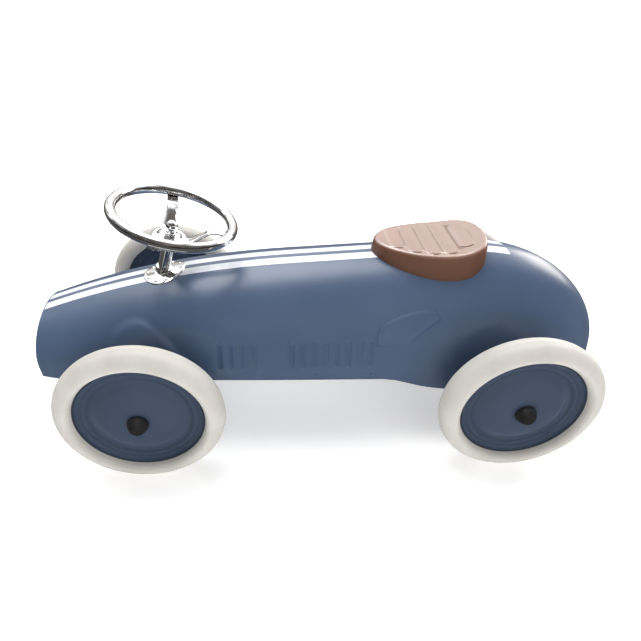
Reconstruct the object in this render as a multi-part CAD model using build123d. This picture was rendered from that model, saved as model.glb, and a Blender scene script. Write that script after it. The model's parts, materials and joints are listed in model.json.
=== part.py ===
from build123d import *
import os
from functools import cache
from math import acos, atan2, copysign, cos, degrees, radians, sin, sqrt

# A foot-to-floor ride-on racing car of pressed steel.
# Millimetres. The nose points to -X, the driver's left is -Y, +Z is up.
# The origin is on the floor, below the centre of the whole car.

# ------------------------------------------------------------------ driving dimensions
wheelbase = 455.0
track = 293.0
wheel_radius = 99.3
front_axle_x = -236.3
rear_axle_x = front_axle_x + wheelbase
axle_z = wheel_radius
wheel_y = track / 2

nose_x = -379.5
tail_x = 379.5
shell_thickness = 1.2

axle_radius = 5.0
running_gap = 0.05
plate = 2.0

steering_tilt = 15.5
steering_centre = Vector(-199.3, 0, 284.3)
rim_radius = 73.4
rim_tube_radius = 6.5
steer_wheel_angle = 15.0
kingpin_y = 112.0
steering_arm = 35.0

# ------------------------------------------------------------------ body shape
# Each cross-section is an arch on two upright skirts. The arch is a superellipse.
arch_exponent = 2.06
crown_rear_x = 166.0
crown_rear_z = 241.5
crown_slope = 0.0623
nose_fall_x = -50.0
nose_drop = 47.2
tail_base_z = 79.2
widest_half = 99.3
nose_narrow_x = 60.0
nose_narrowing = 29.0
taper_x = 106.0
skirt_cut_z = 70.0
base_front_z = 103.6
base_step = (57.0, 140.0)


def crown_height(x, inset=0.0):
    """Height of the body's top line at x, moved in by the inset."""
    fall = max(0.0, nose_fall_x - x) / (nose_fall_x - nose_x)
    rear = min(x, crown_rear_x)
    height = crown_rear_z - crown_slope * (crown_rear_x - rear) - nose_drop * fall**2.2
    if x > crown_rear_x:
        share = min(1.0, (x - crown_rear_x) / (tail_x - inset - crown_rear_x))
        rise = crown_slope * (x - crown_rear_x) * (1 - share)
        height = tail_base_z + (height + rise - tail_base_z) * sqrt(1 - share**2)
    return height - inset


def half_width(x, inset=0.0):
    """Half of the body's width at its base, moved in by the inset."""
    narrow = max(0.0, nose_narrow_x - x) / (nose_narrow_x - nose_x)
    half = widest_half - nose_narrowing * narrow**4.3
    if x > taper_x:
        share = min(1.0, (x - taper_x) / (tail_x - inset - taper_x))
        half *= (1 - share**2.2) ** (1 / 2.2)
    return half - inset


def base_height(x):
    """Height at which the arch starts, lower at the tail than at the nose."""
    share = min(1.0, max(0.0, (x - base_step[0]) / (base_step[1] - base_step[0])))
    return base_front_z + (tail_base_z - base_front_z) * share**2 * (3 - 2 * share)


def arch_point(x, angle, inset=0.0):
    """Point of the arch; angle 0 is the left foot, 90 the crown, 180 the right foot."""
    across = cos(radians(angle))
    up = sin(radians(angle))
    power = 2 / arch_exponent
    base = base_height(x)
    rise = max(2.0, crown_height(x, inset) - base)
    y = -copysign(abs(across) ** power, across) * half_width(x, inset)
    return Vector(x, y, base + rise * abs(up) ** power)


def arch_section(x, inset):
    """Closed outline of one cross-section, in a plane across the car."""
    points = [arch_point(x, angle, inset) for angle in range(0, 181, 15)]
    left_foot = Vector(x, points[0].Y, skirt_cut_z)
    right_foot = Vector(x, points[-1].Y, skirt_cut_z)
    arch = Spline(points, tangents=[(0, 0, 1), (0, 0, -1)])
    skirts = [Line(left_foot, points[0]), Line(points[-1], right_foot)]
    return Face(Wire([arch, Line(right_foot, left_foot)] + skirts))


@cache
def body_form(inset, first_x=nose_x):
    """Solid form of the body; an inset makes the form that hollows it."""
    straight = [-340, -300, -250, -190, -84, 30, 82, 120, crown_rear_x]
    tail_reach = tail_x - inset - crown_rear_x
    tail = [crown_rear_x + tail_reach * sin(radians(turn)) for turn in (17, 33, 47, 59, 69, 77, 82.5)]
    tail.append(tail_x - inset)
    sections = [arch_section(x, inset) for x in [first_x] + straight + tail[:-2]]
    last = arch_section(tail[-2], inset)
    sections.append(last.moved(Location((tail[-1] - tail[-2], 0, 0))))
    return loft(sections)


def body_frame(x, angle):
    """Plane on the body's skin, with its normal pointing out of the car."""
    step = 0.5
    along = arch_point(x + step, angle) - arch_point(x - step, angle)
    around = arch_point(x, angle + step) - arch_point(x, angle - step)
    normal = along.cross(around).normalized()
    if normal.Z < 0 or (abs(normal.Z) < 0.05 and normal.Y * arch_point(x, angle).Y < 0):
        normal = normal * -1
    return Plane(origin=arch_point(x, angle), x_dir=along, z_dir=normal)


def arch_angle(x, z, side):
    """Angle of the arch point at height z, on the left (-1) or the right (+1)."""
    rise = crown_height(x) - base_height(x)
    up = ((z - base_height(x)) / rise) ** (arch_exponent / 2)
    angle = degrees(atan2(up, sqrt(1 - up**2)))
    return angle if side < 0 else 180 - angle


# ------------------------------------------------------------------ small shapes
def rod(start, end, radius):
    """Solid round bar between two points."""
    start = Vector(start)
    axis = Vector(end) - start
    return extrude(Plane(origin=start, z_dir=axis) * Circle(radius), axis.length)


def tube(start, end, outer, inner):
    """Round tube between two points."""
    axis = (Vector(end) - Vector(start)).normalized()
    return rod(start, end, outer) - rod(Vector(start) - axis, Vector(end) + axis, inner)


def block(x, y, z):
    """Box from the three pairs of limits."""
    size = (x[1] - x[0], y[1] - y[0], z[1] - z[0])
    middle = ((x[0] + x[1]) / 2, (y[0] + y[1]) / 2, (z[0] + z[1]) / 2)
    return Pos(*middle) * Box(*size)


def domed_head(place, radius, height, shank_radius, shank):
    """Rivet or screw at a plane: a low dome outside it and a shank behind it."""
    bulge = (radius**2 + height**2) / (2 * height)
    ball = Pos(0, 0, height - bulge) * Sphere(bulge)
    dome = ball & (Pos(0, 0, height / 2) * Cylinder(radius * 1.2, height))
    stem = Pos(0, 0, -shank / 2) * Cylinder(shank_radius, shank)
    return place * (dome + stem)


def hexagon_piece(start, end, across_flats, hole):
    """Hexagonal nut, or a bolt's head when the hole is 0."""
    start = Vector(start)
    axis = Vector(end) - start
    face = Plane(origin=start, z_dir=axis) * RegularPolygon(across_flats / sqrt(3), 6)
    piece = extrude(face, axis.length)
    return piece - rod(start - axis, start + axis * 2, hole) if hole else piece


def group(shapes):
    """Several separate solids of one node."""
    return Compound(children=list(shapes))


def turned(outline):
    """Ring or disc turned about the Z axis from an outline of radius and height."""
    return revolve(Plane.XZ * make_face(outline), Axis.Z)


# ------------------------------------------------------------------ steering axis
steering_up = Vector(sin(radians(steering_tilt)), 0, cos(radians(steering_tilt)))
steering_plane = Plane(origin=steering_centre, x_dir=(steering_up.Z, 0, -steering_up.X), z_dir=steering_up)


def on_column(height):
    """Point of the steering axis at a height above the floor."""
    return steering_centre + steering_up * ((height - steering_centre.Z) / steering_up.Z)


# ------------------------------------------------------------------ body and what is fixed to it
nose_edge_z = 94.0
nose_tuck = 4.0
beam_top_z = 111.5
beam_bottom_z = 87.5
beam_keel_z = 84.5
beam_front_x = -262.0
beam_rear_x = -225.0
beam_low_front_x = -246.0
beam_half = 119.0
beam_keel_half = 97.0
beam_bolt_y = 76.0
tie_rod_x = front_axle_x - steering_arm
flange_x = -219.0
flange_radius = 27.0
flange_thickness = 1.3
seat_gap = 0.15
sleeve_radius = 8.0
sleeve_bore = 6.0
rivet_radius = 1.5
sill_rivet_x = (-93.0, -26.5, 44.0)
sill_rivet_z = 110.0
hanger_screw_z = (128.0, 146.0)
cross_member_x = (rear_axle_x - 13, rear_axle_x + 13)
cross_screw_z = 121.0
seat_screw_x = (95.0, 160.0)
seat_screw_radius = 3.0


def bottom_profile():
    """Side view of what is kept: low nose, front axle arch, sill and tail."""
    line = [
        (nose_x + nose_tuck, nose_edge_z),
        (-296, nose_edge_z),
        (-288, 114),
        (-222, 114),
        (-216, 106.5),
        (60, 102),
        (76, 99.5),
        (112, 88),
        (130, 84),
        (146, 83),
        (tail_x + 20, 83),
        (tail_x + 20, 400),
        (nose_x, 400),
        (nose_x, nose_edge_z + 38),
    ]
    corner_radii = {0: 3, 1: 6, 2: 8, 3: 8, 4: 4}
    face = make_face(Polyline(*line, close=True))
    for index, radius in corner_radii.items():
        point = line[index]
        corner = min(face.vertices(), key=lambda v: (v.X - point[0]) ** 2 + (v.Y - point[1]) ** 2)
        face = fillet(corner, radius)
    return extrude(Plane.XZ * face, 200, both=True)


def skin(outer_inset, inner_inset, region):
    """Sheet that follows the body's skin between two insets, kept only inside a region."""
    return (body_form(outer_inset) & region) - body_form(inner_inset, nose_x - 6)


def flange_rivets():
    """Ten small rivets around the column flange."""
    rivets = []
    for index in range(10):
        turn = radians(-147 + 36 * index)
        x = flange_x + 22 * cos(turn)
        y = 22 * sin(turn)
        share = abs(y) / half_width(x)
        angle = 90 - degrees(acos(sqrt(1 - share**arch_exponent)))
        place = body_frame(x, angle if y < 0 else 180 - angle).offset(flange_thickness + 0.2)
        rivets.append(domed_head(place, 2.2, 1.0, rivet_radius, 5.5))
    return rivets


def side_rivets():
    """Three rivets low on each side, through the sill rails."""
    rivets = []
    for side in (-1, 1):
        for x in sill_rivet_x:
            place = body_frame(x, arch_angle(x, sill_rivet_z, side)).offset(0.05)
            rivets.append(domed_head(place, 2.6, 1.1, rivet_radius, 5.0))
    return rivets


def body_screws():
    """Pan head screws that hold the front hangers and the rear cross member."""
    screws = []
    for side in (-1, 1):
        places = [(front_axle_x, z) for z in hanger_screw_z]
        places.append((rear_axle_x - 8, cross_screw_z))
        places.append((rear_axle_x + 8, cross_screw_z))
        for x, z in places:
            place = body_frame(x, arch_angle(x, z, side)).offset(0.05)
            screws.append(domed_head(place, 4.2, 2.2, 2.0, 7.0))
    return screws


def seat_screws():
    """Screws that come up through the crown into the seat, with washers below."""
    screws = []
    for x in seat_screw_x:
        under = crown_height(x) - shell_thickness
        shank = rod((x, 0, under - 6), (x, 0, under + seat_screw_reach), seat_screw_radius)
        screws.append(shank + hexagon_piece((x, 0, under - 6), (x, 0, under - 2), 10, 0))
    return screws


def seat_washers():
    """Large washers between the seat screws and the inside of the crown."""
    washers = []
    for x in seat_screw_x:
        under = crown_height(x) - shell_thickness
        washers.append(tube((x, 0, under - 2), (x, 0, under - 1.0), 9, seat_screw_radius))
    return washers


def make_body_shell(holes):
    """Pressed steel skin, open below and at the nose."""
    shell = body_form(0.0) - body_form(shell_thickness, nose_x - 6)
    shell = shell & bottom_profile()
    shell -= rod(on_column(190), on_column(230), sleeve_radius)
    shell -= rod((rear_axle_x, -120, axle_z), (rear_axle_x, 120, axle_z), axle_radius + 1)
    for hole in holes:
        shell -= hole
    return shell


def make_nose_grille():
    """Slotted plate just inside the nose opening."""
    grille_x = (nose_x + 8, nose_x + 10)
    blank = body_form(shell_thickness + 0.1, nose_x - 6) & block(grille_x, (-100, 100), (97, 200))
    slots = []
    for index in range(-5, 6):
        top = 148 - 0.016 * (index * 9) ** 2
        slots.append(block((nose_x, nose_x + 20), (index * 9 - 2.2, index * 9 + 2.2), (104, top)))
    for slot in slots:
        blank -= slot
    return blank


def make_grille_tabs():
    """Two tabs that hold the grille to the inside of the nose."""
    tabs = []
    for side in (-1, 1):
        near, far = sorted((side * 50, side * 80))
        region = block((nose_x + 10, nose_x + 24), (near, far), (112, 126))
        tabs.append(skin(shell_thickness + 0.3, shell_thickness + 1.8, region))
    return group(tabs)


def make_front_beam():
    """Channel beam under the nose; its flanges hold both kingpins and the column."""
    low_x = (beam_low_front_x, beam_rear_x)
    web_x = (beam_rear_x - plate, beam_rear_x)
    top_x = (beam_front_x, beam_rear_x)
    middle = (-beam_keel_half, beam_keel_half)
    beam = block(top_x, (-beam_half, beam_half), (beam_top_z - plate, beam_top_z))
    beam += block(web_x, (-kingpin_y, kingpin_y), (beam_bottom_z, beam_top_z))
    beam += block(web_x, middle, (beam_keel_z, beam_bottom_z))
    beam += block(low_x, middle, (beam_keel_z, beam_keel_z + plate))
    beam -= rod(on_column(100), on_column(130), 7)
    for side in (-1, 1):
        y = side * kingpin_y
        lug_y = sorted((side * (beam_keel_half - plate), side * beam_half))
        beam += block(low_x, lug_y, (beam_bottom_z, beam_bottom_z + plate))
        step_y = sorted((side * (beam_keel_half - plate), side * beam_keel_half))
        beam += block(low_x, step_y, (beam_keel_z, beam_bottom_z))
        beam -= rod((front_axle_x, y, 80), (front_axle_x, y, 120), 4)
        beam -= rod((front_axle_x, side * beam_bolt_y, 100), (front_axle_x, side * beam_bolt_y, 120), 3)
        clear = sorted((side * 104, side * 130))
        beam -= block((beam_front_x - 1, beam_low_front_x), clear, (beam_top_z - 5, beam_top_z + 1))
    return beam


def make_beam_hangers():
    """Brackets that hang the front beam from the body's sides."""
    hangers = []
    for side in (-1, 1):
        width = (front_axle_x - 10, front_axle_x + 10)
        leg_y = sorted((side * 70, side * 110))
        foot_y = sorted((side * 66, side * 92))
        leg = skin(shell_thickness + 0.1, shell_thickness + 2.1, block(width, leg_y, (beam_top_z, 156)))
        foot = block(width, foot_y, (beam_top_z, beam_top_z + plate)) & body_form(shell_thickness + 0.1)
        bolt_y = side * beam_bolt_y
        hangers.append(leg + foot - rod((front_axle_x, bolt_y, 100), (front_axle_x, bolt_y, 120), 3))
    return hangers


def beam_bolts():
    """Bolts through the hanger feet and the beam."""
    bolts = []
    for side in (-1, 1):
        y = side * beam_bolt_y
        shank = rod((front_axle_x, y, beam_top_z - 9), (front_axle_x, y, beam_top_z + plate), 3)
        head = hexagon_piece((front_axle_x, y, beam_top_z + plate), (front_axle_x, y, beam_top_z + 6), 10, 0)
        bolts.append(shank + head)
    return bolts


def beam_nuts():
    """Nuts under the beam's top flange."""
    nuts = []
    for side in (-1, 1):
        y = side * beam_bolt_y
        top = beam_top_z - plate
        nuts.append(hexagon_piece((front_axle_x, y, top - 5), (front_axle_x, y, top), 10, 3))
    return nuts


def make_kingpin(side):
    """Headed pin through the beam's flanges and the knuckle."""
    y = side * kingpin_y
    pin = rod((front_axle_x, y, beam_keel_z + 0.5), (front_axle_x, y, beam_top_z), 4)
    head = rod((front_axle_x, y, beam_top_z), (front_axle_x, y, beam_top_z + 3), 7)
    clip = rod((front_axle_x, y, beam_bottom_z - 2), (front_axle_x, y, beam_bottom_z), 6.5)
    return pin + head + clip


def make_column_flange():
    """Round plate pressed to the shape of the crown, where the column comes out."""
    region = rod((flange_x, 0, 150), (flange_x, 0, 260), flange_radius)
    plate_form = (body_form(-flange_thickness - 0.1) & region) - body_form(-0.1)
    return plate_form - rod(on_column(190), on_column(230), sleeve_radius)


def make_column_sleeve():
    """Fixed tube that the steering shaft turns in."""
    return tube(on_column(192), on_column(251), sleeve_radius, sleeve_bore)


def make_column_collar():
    """Ring welded round the sleeve, seated on the curved flange."""
    foot = crown_height(on_column(210).X)
    ring = tube(on_column(foot), on_column(foot + 7), sleeve_radius + 2.2, sleeve_radius)
    return ring - body_form(-flange_thickness - 0.15)


def column_bushes():
    """Plastic bearings in the top of the sleeve and in the beam's top flange."""
    bore = axle_radius + running_gap
    body = tube(on_column(238), on_column(251), sleeve_bore, bore)
    lip = tube(on_column(251), on_column(252.4), sleeve_radius, bore)
    return [body + lip, tube(on_column(105), on_column(117), 7, bore)]


def make_sill_rail(side):
    """Stiffening strip inside the bottom edge of one side."""
    region_y = sorted((side * 80, side * 110))
    region = block((-120, 62), region_y, (106.5, 121))
    return skin(shell_thickness + 0.1, shell_thickness + 2.1, region)


def make_rear_cross_member():
    """Bridge inside the tail; its ears carry the rear axle."""
    x = cross_member_x
    bridge = block(x, (-100, 100), (112, 132)) - block(x, (-84, 84), (112, 130))
    ear_left = block(x, (-86, -84), (88, 132))
    ear_right = block(x, (84, 86), (88, 132))
    member = (bridge + ear_left + ear_right) & body_form(shell_thickness + 0.1)
    return member - rod((rear_axle_x, -100, axle_z), (rear_axle_x, 100, axle_z), axle_radius)


def make_rear_axle():
    """Steel rod that both rear wheels turn on."""
    reach = wheel_y + 21
    return rod((rear_axle_x, -reach, axle_z), (rear_axle_x, reach, axle_z), axle_radius)


def make_axle_spacers():
    """Tubes that keep the rear wheels clear of the body."""
    spacers = []
    for side in (-1, 1):
        near = side * (wheel_y - hub_face)
        far = side * 96
        spacers.append(tube((rear_axle_x, far, axle_z), (rear_axle_x, near, axle_z), 8, axle_radius))
    return spacers


# ------------------------------------------------------------------ seat
seat_front_x = 49.0
seat_rear_x = 194.0
seat_wide_x = 145.0
seat_half = 52.0
seat_rim_front_z = 251.0
seat_rise = 12.0
seat_edge_radius = 5.0
seat_screw_reach = 11.0


def seat_point(angle, shrink=0.0):
    """Point of the seat's egg-shaped plan; angle 0 points to the rear."""
    c = cos(radians(angle))
    s = sin(radians(angle))
    reach = seat_rear_x - seat_wide_x if c > 0 else seat_wide_x - seat_front_x
    power = 2 / 2.5 if c > 0 else 1.0
    x = seat_wide_x + copysign(abs(c) ** power, c) * (reach - shrink)
    y = copysign(abs(s) ** power, s) * (seat_half - shrink)
    return x, y


def make_seat():
    """Moulded saddle pad: egg-shaped plan, rising to the rear, hollowed a little on top."""
    plan = Spline([seat_point(angle) for angle in range(0, 360, 15)], periodic=True)
    pad = extrude(Pos(0, 0, 190) * make_face(plan), 100)
    side_line = [
        (seat_front_x - 5, seat_rim_front_z),
        (seat_front_x + 45, seat_rim_front_z - 0.8),
        (seat_wide_x, seat_rim_front_z + 0.8),
        (seat_rear_x + 5, seat_rim_front_z + seat_rise),
    ]
    top_edge = Spline(side_line)
    left = side_line[0]
    right = side_line[-1]
    cut_face = make_face([top_edge, Polyline(right, (right[0], 320), (left[0], 320), left)])
    pad -= extrude(Plane.XZ * cut_face, 80, both=True)
    pad -= body_form(-seat_gap)
    rim = pad.edges().filter_by(lambda edge: edge.center().Z > seat_rim_front_z - 3)
    pad = fillet(rim, seat_edge_radius)
    for x in seat_screw_x:
        pad -= rod((x, 0, 190), (x, 0, crown_height(x) + seat_screw_reach - 0.6), seat_screw_radius)
    return pad


# ------------------------------------------------------------------ steering
hub_drop = 29.0
spoke_width = 14.0
spoke_root_half = 12.5
spoke_turns = (0.0, 98.0, -98.0)
tab_top = -rim_tube_radius - 0.05


def make_steering_rim():
    """Round tube ring that the child holds."""
    ring = steering_plane * Torus(rim_radius, rim_tube_radius)
    for rivet in make_spoke_rivets():
        ring -= rivet
    return ring


def make_steering_spider():
    """Hub plate and three bent strap spokes, in one pressing."""
    hub = Pos(0, 0, -hub_drop) * Cylinder(23, plate)
    reach = rim_radius + 3
    knee = 47.0
    low = -hub_drop
    high = tab_top - plate / 2
    strap_line = Polyline((16, low), (24, low), (knee, high + 0.5), (knee + 3, high), (reach, high))
    half = spoke_width / 2
    strap = extrude(Plane.XZ * trace(strap_line, plate), spoke_root_half, both=True)
    plan = [(0, -spoke_root_half), (20, -spoke_root_half), (knee, -half), (reach + 5, -half)]
    plan += [(x, -y) for x, y in reversed(plan)]
    strap &= Pos(0, 0, low - 10) * extrude(make_face(Polyline(*plan, close=True)), -low + 10)
    spider = hub
    for turn in spoke_turns:
        spider += Rot(0, 0, turn) * (strap - Pos(rim_radius, 0, high) * Cylinder(rivet_radius, 10))
    spider -= Pos(0, 0, -hub_drop) * Cylinder(axle_radius, 20)
    return steering_plane * spider


def make_spoke_rivets():
    """Domed rivets that hold the spokes' tabs to the rim."""
    rivets = []
    for turn in spoke_turns:
        head = Plane(origin=(rim_radius, 0, tab_top - plate), z_dir=(0, 0, -1))
        rivets.append(steering_plane * Rot(0, 0, turn) * domed_head(head, 3.2, 1.4, rivet_radius, 5.0))
    return rivets


def make_dome_nut():
    """Long domed nut that clamps the wheel on the shaft."""
    low = -hub_drop + plate / 2 + 1.5
    top = -6.0
    collar = Pos(0, 0, low + 3) * Cylinder(7.5, 6)
    waist = Pos(0, 0, low + 9.5) * Cylinder(6.8, 7)
    cap_base = low + 13
    dome = Pos(0, 0, cap_base) * Sphere(6.8)
    dome = dome & (Pos(0, 0, cap_base + 4) * Cylinder(8, 8))
    nut = collar + waist + dome
    bore_top = top - 5
    nut -= Pos(0, 0, (low + bore_top) / 2) * Cylinder(axle_radius, bore_top - low)
    return steering_plane * nut


def make_hub_washer():
    """Stepped washer under the dome nut."""
    low = -hub_drop + plate / 2
    ring = Pos(0, 0, low + 0.75) * (Cylinder(12, 1.5) - Cylinder(axle_radius, 4))
    return steering_plane * ring


def make_steering_shaft():
    """Rod from the crank to the dome nut."""
    top = steering_centre + steering_up * -12
    return rod(on_column(94), top, axle_radius)


crank_z = 99.0
crank_radius = 2 * steering_arm * sin(radians(steer_wheel_angle))
crank_plane = Plane(origin=on_column(crank_z), x_dir=steering_plane.x_dir, z_dir=steering_up)


def make_crank():
    """Flat arm on the lower end of the shaft, pointing to the nose."""
    arm = Pos(-crank_radius / 2, 0, 0) * Box(crank_radius, 12, 4)
    arm += Cylinder(9, 4)
    arm += Pos(-crank_radius, 0, 0) * Cylinder(6.5, 4)
    arm -= Cylinder(axle_radius, 10)
    arm -= Pos(-crank_radius, 0, 0) * Cylinder(3, 10)
    return crank_plane * arm


def make_crank_pin():
    """Headed pin that pushes the tie rod from side to side."""
    stem = Pos(-crank_radius, 0, -5.5) * Cylinder(3, 15)
    head = Pos(-crank_radius, 0, -14) * Cylinder(5, 2)
    return crank_plane * (stem + head)


tie_rod_z = (93.5, 96.5)
arm_z = (97.5, 101.5)


def make_tie_rod():
    """Flat bar ahead of the axle, with a slot for each pin."""
    bar = block((tie_rod_x - 8, tie_rod_x + 8), (-kingpin_y, kingpin_y), tie_rod_z)
    for side in (-1, 1):
        y = side * kingpin_y
        bar += rod((tie_rod_x, y, tie_rod_z[0]), (tie_rod_x, y, tie_rod_z[1]), 8)
    slots = [(side * kingpin_y, tie_rod_x + 0.7, 2.2) for side in (-1, 1)]
    slots.append((0.0, tie_rod_x + 1.6, 3.6))
    for y, x, length in slots:
        slot = Pos(x, y, 95) * SlotCenterToCenter(length, 7.2)
        bar -= extrude(slot, 10, both=True)
    return bar


def make_knuckle(side):
    """Kingpin barrel with its stub axle and steering arm, welded together."""
    y = side * kingpin_y
    low = beam_bottom_z + plate + 0.3
    high = beam_top_z - plate - 0.3
    barrel = rod((front_axle_x, y, low), (front_axle_x, y, high), 7.5)
    stub = rod((front_axle_x, y, axle_z), (front_axle_x, side * (wheel_y + 21), axle_z), axle_radius)
    shoulder = rod((front_axle_x, y, axle_z), (front_axle_x, side * (wheel_y - hub_face), axle_z), 8)
    arm = block((tie_rod_x, front_axle_x), (y - 6, y + 6), arm_z)
    arm += rod((tie_rod_x, y, arm_z[0]), (tie_rod_x, y, arm_z[1]), 6)
    knuckle = barrel + stub + shoulder + arm
    knuckle -= rod((front_axle_x, y, 80), (front_axle_x, y, 120), 4 + running_gap)
    return knuckle - rod((tie_rod_x, y, 90), (tie_rod_x, y, 110), 3)


def make_arm_pin(side):
    """Headed pin from the steering arm down through the tie rod."""
    y = side * kingpin_y
    stem = rod((tie_rod_x, y, 90.5), (tie_rod_x, y, arm_z[1]), 3)
    head = rod((tie_rod_x, y, 90.5), (tie_rod_x, y, 92.5), 5)
    return stem + head


# ------------------------------------------------------------------ wheels
disc_thickness = 1.2
tyre_half = 17.0
bush_half = 13.3
hub_face = 15.2


def wheel_place(x, side):
    """Wheel axes: local +Z points out of the car along the axle."""
    return Plane(origin=(x, side * wheel_y, axle_z), x_dir=(1, 0, 0), z_dir=(0, side, 0))


def tyre():
    """Solid moulded tyre with round shoulders, seated between the discs."""
    shoulder = (75.8, 9.0)
    lip = (75.6, 6.4)
    seat_corner = (70.5, 4.5)
    crown = (wheel_radius, 0)
    side = [shoulder, (78.2, 14.0), (83.0, tyre_half), (90.8, 14.7), (97.0, 8.5), crown]
    half = [
        Line(seat_corner, lip),
        Line(lip, shoulder),
        Spline(side, tangents=[(0.2, 1), (0, -1)]),
    ]
    other_half = [edge.mirror(Plane.XZ) for edge in half]
    return turned(half + other_half + [Line((seat_corner[0], -seat_corner[1]), seat_corner)])


def disc_line():
    """Middle line of the outer disc from the hub to the edge, as radius and height."""
    return [(8, 14.7), (26, 13.6), (44, 9.5), (56, 4.6), (60, 3.8), (66, 4.6), (70, 6.4), (75.2, 8.2)]


def wheel_disc():
    """Pressed dish: a low dome, a groove, and a rim band that meets the tyre."""
    outer = Spline(disc_line())
    inner = Spline([(radius, height - disc_thickness) for radius, height in disc_line()])
    ends = [Line(outer @ 0, inner @ 0), Line(outer @ 1, inner @ 1)]
    return turned([outer, inner] + ends)


def wheel_bush():
    """Plastic hub that keeps the two discs apart and turns on the axle."""
    return Cylinder(12, 2 * bush_half) - Cylinder(axle_radius + running_gap, 40)


def hub_cap():
    """Black cap over the end of the axle: a round foot and a blunt cone."""
    cone = [(12.4, hub_face), (11.6, 19.5), (8.6, 25.0), (4.5, 28.2), (0, 29.2)]
    outline = [
        Line((0, 22.6), (9.8, 22.6)),
        Line((9.8, 22.6), (9.8, hub_face)),
        Line((9.8, hub_face), cone[0]),
        Spline(cone, tangents=[(0.1, 1), (-1, 0)]),
        Line(cone[-1], (0, 22.6)),
    ]
    return turned(outline)


def axle_clip():
    """Push-on ring that keeps the wheel on its axle."""
    return Pos(0, 0, 17.5) * (Cylinder(8.6, 1.6) - Cylinder(axle_radius, 10))


def make_wheel(name, x, side):
    """The pieces of one wheel, by node name."""
    place = wheel_place(x, side)
    return {
        f"{name}_tyre": place * tyre(),
        f"{name}_outer_disc": place * wheel_disc(),
        f"{name}_inner_disc": place * (Rot(180, 0, 0) * wheel_disc()),
        f"{name}_bush": place * wheel_bush(),
        f"{name}_hub_cap": place * hub_cap(),
    }


# ------------------------------------------------------------------ the whole car
def make_parts():
    """All nodes of the car, by name."""
    rivets = flange_rivets()
    sill = side_rivets()
    screws = body_screws()
    from_below = seat_screws()
    cross = make_rear_cross_member()
    hangers = make_beam_hangers()
    rails = [make_sill_rail(-1), make_sill_rail(1)]
    flange = make_column_flange()
    for rivet in rivets:
        flange -= rivet
    for screw in screws:
        cross -= screw
        hangers = [hanger - screw for hanger in hangers]
    for rivet in sill:
        rails = [rail - rivet for rail in rails]
    clips = []
    for x in (front_axle_x, rear_axle_x):
        for side in (-1, 1):
            clips.append((x, side, wheel_place(x, side) * axle_clip()))
    parts = {
        "body_shell": make_body_shell(rivets + sill + screws + from_below),
        "nose_grille": make_nose_grille(),
        "grille_tabs": make_grille_tabs(),
        "front_beam": make_front_beam(),
        "beam_hangers": group(hangers),
        "beam_bolts": group(beam_bolts()),
        "beam_nuts": group(beam_nuts()),
        "kingpins": group([make_kingpin(-1), make_kingpin(1)]),
        "column_flange": flange,
        "column_sleeve": make_column_sleeve(),
        "column_collar": make_column_collar(),
        "column_bushes": group(column_bushes()),
        "flange_rivets": group(rivets),
        "sill_rails": group(rails),
        "sill_rivets": group(sill),
        "body_screws": group(screws),
        "rear_cross_member": cross,
        "rear_axle": make_rear_axle(),
        "rear_axle_spacers": group(make_axle_spacers()),
        "rear_axle_clips": group([clip for x, side, clip in clips if x == rear_axle_x]),
        "seat": make_seat(),
        "seat_screws": group(from_below),
        "seat_washers": group(seat_washers()),
        "steering_rim": make_steering_rim(),
        "steering_spider": make_steering_spider(),
        "spoke_rivets": group(make_spoke_rivets()),
        "steering_shaft": make_steering_shaft(),
        "hub_washer": make_hub_washer(),
        "dome_nut": make_dome_nut(),
        "crank": make_crank(),
        "crank_pin": make_crank_pin(),
        "tie_rod": make_tie_rod(),
    }
    for name, side in (("left", -1), ("right", 1)):
        parts[f"{name}_knuckle"] = make_knuckle(side)
        parts[f"{name}_arm_pin"] = make_arm_pin(side)
        parts[f"{name}_stub_clip"] = [clip for x, s, clip in clips if x == front_axle_x and s == side][0]
        parts.update(make_wheel(f"front_{name}", front_axle_x, side))
        parts.update(make_wheel(f"rear_{name}", rear_axle_x, side))
    return parts


def main():
    os.makedirs("parts", exist_ok=True)
    for name, shape in make_parts().items():
        shape.label = name
        export_step(shape, f"parts/{name}.step")


if __name__ == "__main__":
    main()
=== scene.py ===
"""Looks of a foot-to-floor ride-on racing car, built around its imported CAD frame.

Metres. The nose points to -X, the driver's left is -Y, +Z is up.
"""

import json
import math

import bmesh
import bpy
import numpy as np
from mathutils import Matrix, Vector


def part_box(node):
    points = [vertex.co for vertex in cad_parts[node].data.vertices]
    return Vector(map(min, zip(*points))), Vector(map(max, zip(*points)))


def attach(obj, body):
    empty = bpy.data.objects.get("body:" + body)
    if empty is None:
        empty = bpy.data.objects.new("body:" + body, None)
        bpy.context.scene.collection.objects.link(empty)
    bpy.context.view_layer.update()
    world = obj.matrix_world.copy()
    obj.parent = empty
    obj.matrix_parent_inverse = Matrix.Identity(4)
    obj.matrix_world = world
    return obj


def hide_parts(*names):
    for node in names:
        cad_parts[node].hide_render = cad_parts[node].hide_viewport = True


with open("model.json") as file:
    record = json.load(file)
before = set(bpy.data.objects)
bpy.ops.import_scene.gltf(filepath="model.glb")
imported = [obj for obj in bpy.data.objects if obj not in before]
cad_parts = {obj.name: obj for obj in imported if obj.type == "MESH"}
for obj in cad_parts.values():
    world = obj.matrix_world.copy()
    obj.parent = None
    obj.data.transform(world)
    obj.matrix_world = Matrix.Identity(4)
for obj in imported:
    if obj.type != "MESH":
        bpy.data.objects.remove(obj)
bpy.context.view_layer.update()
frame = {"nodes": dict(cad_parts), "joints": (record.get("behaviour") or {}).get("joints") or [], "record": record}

MM = 0.001
WHEELS = ("front_left", "front_right", "rear_left", "rear_right")


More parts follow.
